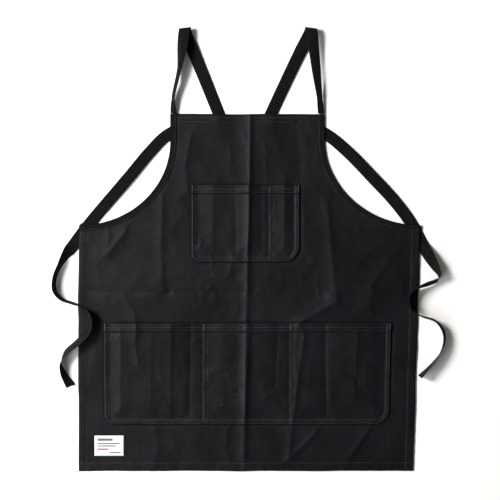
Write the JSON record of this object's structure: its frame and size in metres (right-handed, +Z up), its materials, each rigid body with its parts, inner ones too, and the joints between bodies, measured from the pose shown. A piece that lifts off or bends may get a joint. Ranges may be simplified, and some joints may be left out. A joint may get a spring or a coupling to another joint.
{
  "type": "cross-back apron",
  "caption": "Cross-back work apron in waxed canvas, laid flat face up, with chest and lap pockets and one-inch tape straps that end as waist ties.",
  "frame": {"origin": "middle of the cloth body, on the surface it lies on", "axes": "+X to the right seen from the front, +Y towards the bib, +Z up out of the front face"},
  "size_m": [0.8335, 0.9392, 0.0309],
  "materials": {
    "waxed_canvas": "matte",
    "strap_tape": "matte",
    "thread": "satin",
    "satin_label": "satin"
  },
  "bodies": {
    "root": {"body_panel": "waxed_canvas", "top_hem": "waxed_canvas", "bottom_hem": "waxed_canvas", "left_side_hem": "waxed_canvas", "right_side_hem": "waxed_canvas", "chest_pocket": "waxed_canvas", "lap_pocket": "waxed_canvas", "left_armhole_binding": "strap_tape", "right_armhole_binding": "strap_tape", "left_keeper": "strap_tape", "right_keeper": "strap_tape", "left_back_run": "strap_tape", "right_back_run": "strap_tape", "chest_pocket_bartack_1": "thread", "chest_pocket_bartack_2": "thread", "chest_pocket_bartack_3": "thread", "lap_pocket_bartack_1": "thread", "lap_pocket_bartack_2": "thread", "lap_pocket_bartack_3": "thread", "lap_pocket_bartack_4": "thread", "label": "satin_label"},
    "left_loop": {"left_shoulder_loop": "strap_tape"},
    "right_loop": {"right_shoulder_loop": "strap_tape"},
    "left_tie": {"left_tie": "strap_tape"},
    "right_tie": {"right_tie": "strap_tape"}
  },
  "joints": [
    {"name": "left_loop_lift", "type": "hinge", "parent": "root", "child": "left_loop", "pos_m": [-0.105, 0.3786, 0.0052], "axis": [1, 0, 0], "range_deg": [0, 120]},
    {"name": "right_loop_lift", "type": "hinge", "parent": "root", "child": "right_loop", "pos_m": [0.105, 0.3786, 0.0052], "axis": [1, 0, 0], "range_deg": [0, 120]},
    {"name": "left_tie_lift", "type": "hinge", "parent": "root", "child": "left_tie", "pos_m": [-0.37, 0.099, 0.0027], "axis": [-0.8191, 0.5736, 0], "range_deg": [0, 100]},
    {"name": "right_tie_lift", "type": "hinge", "parent": "root", "child": "right_tie", "pos_m": [0.372, 0.099, 0.0027], "axis": [-0.891, -0.454, 0], "range_deg": [0, 100]}
  ]
}
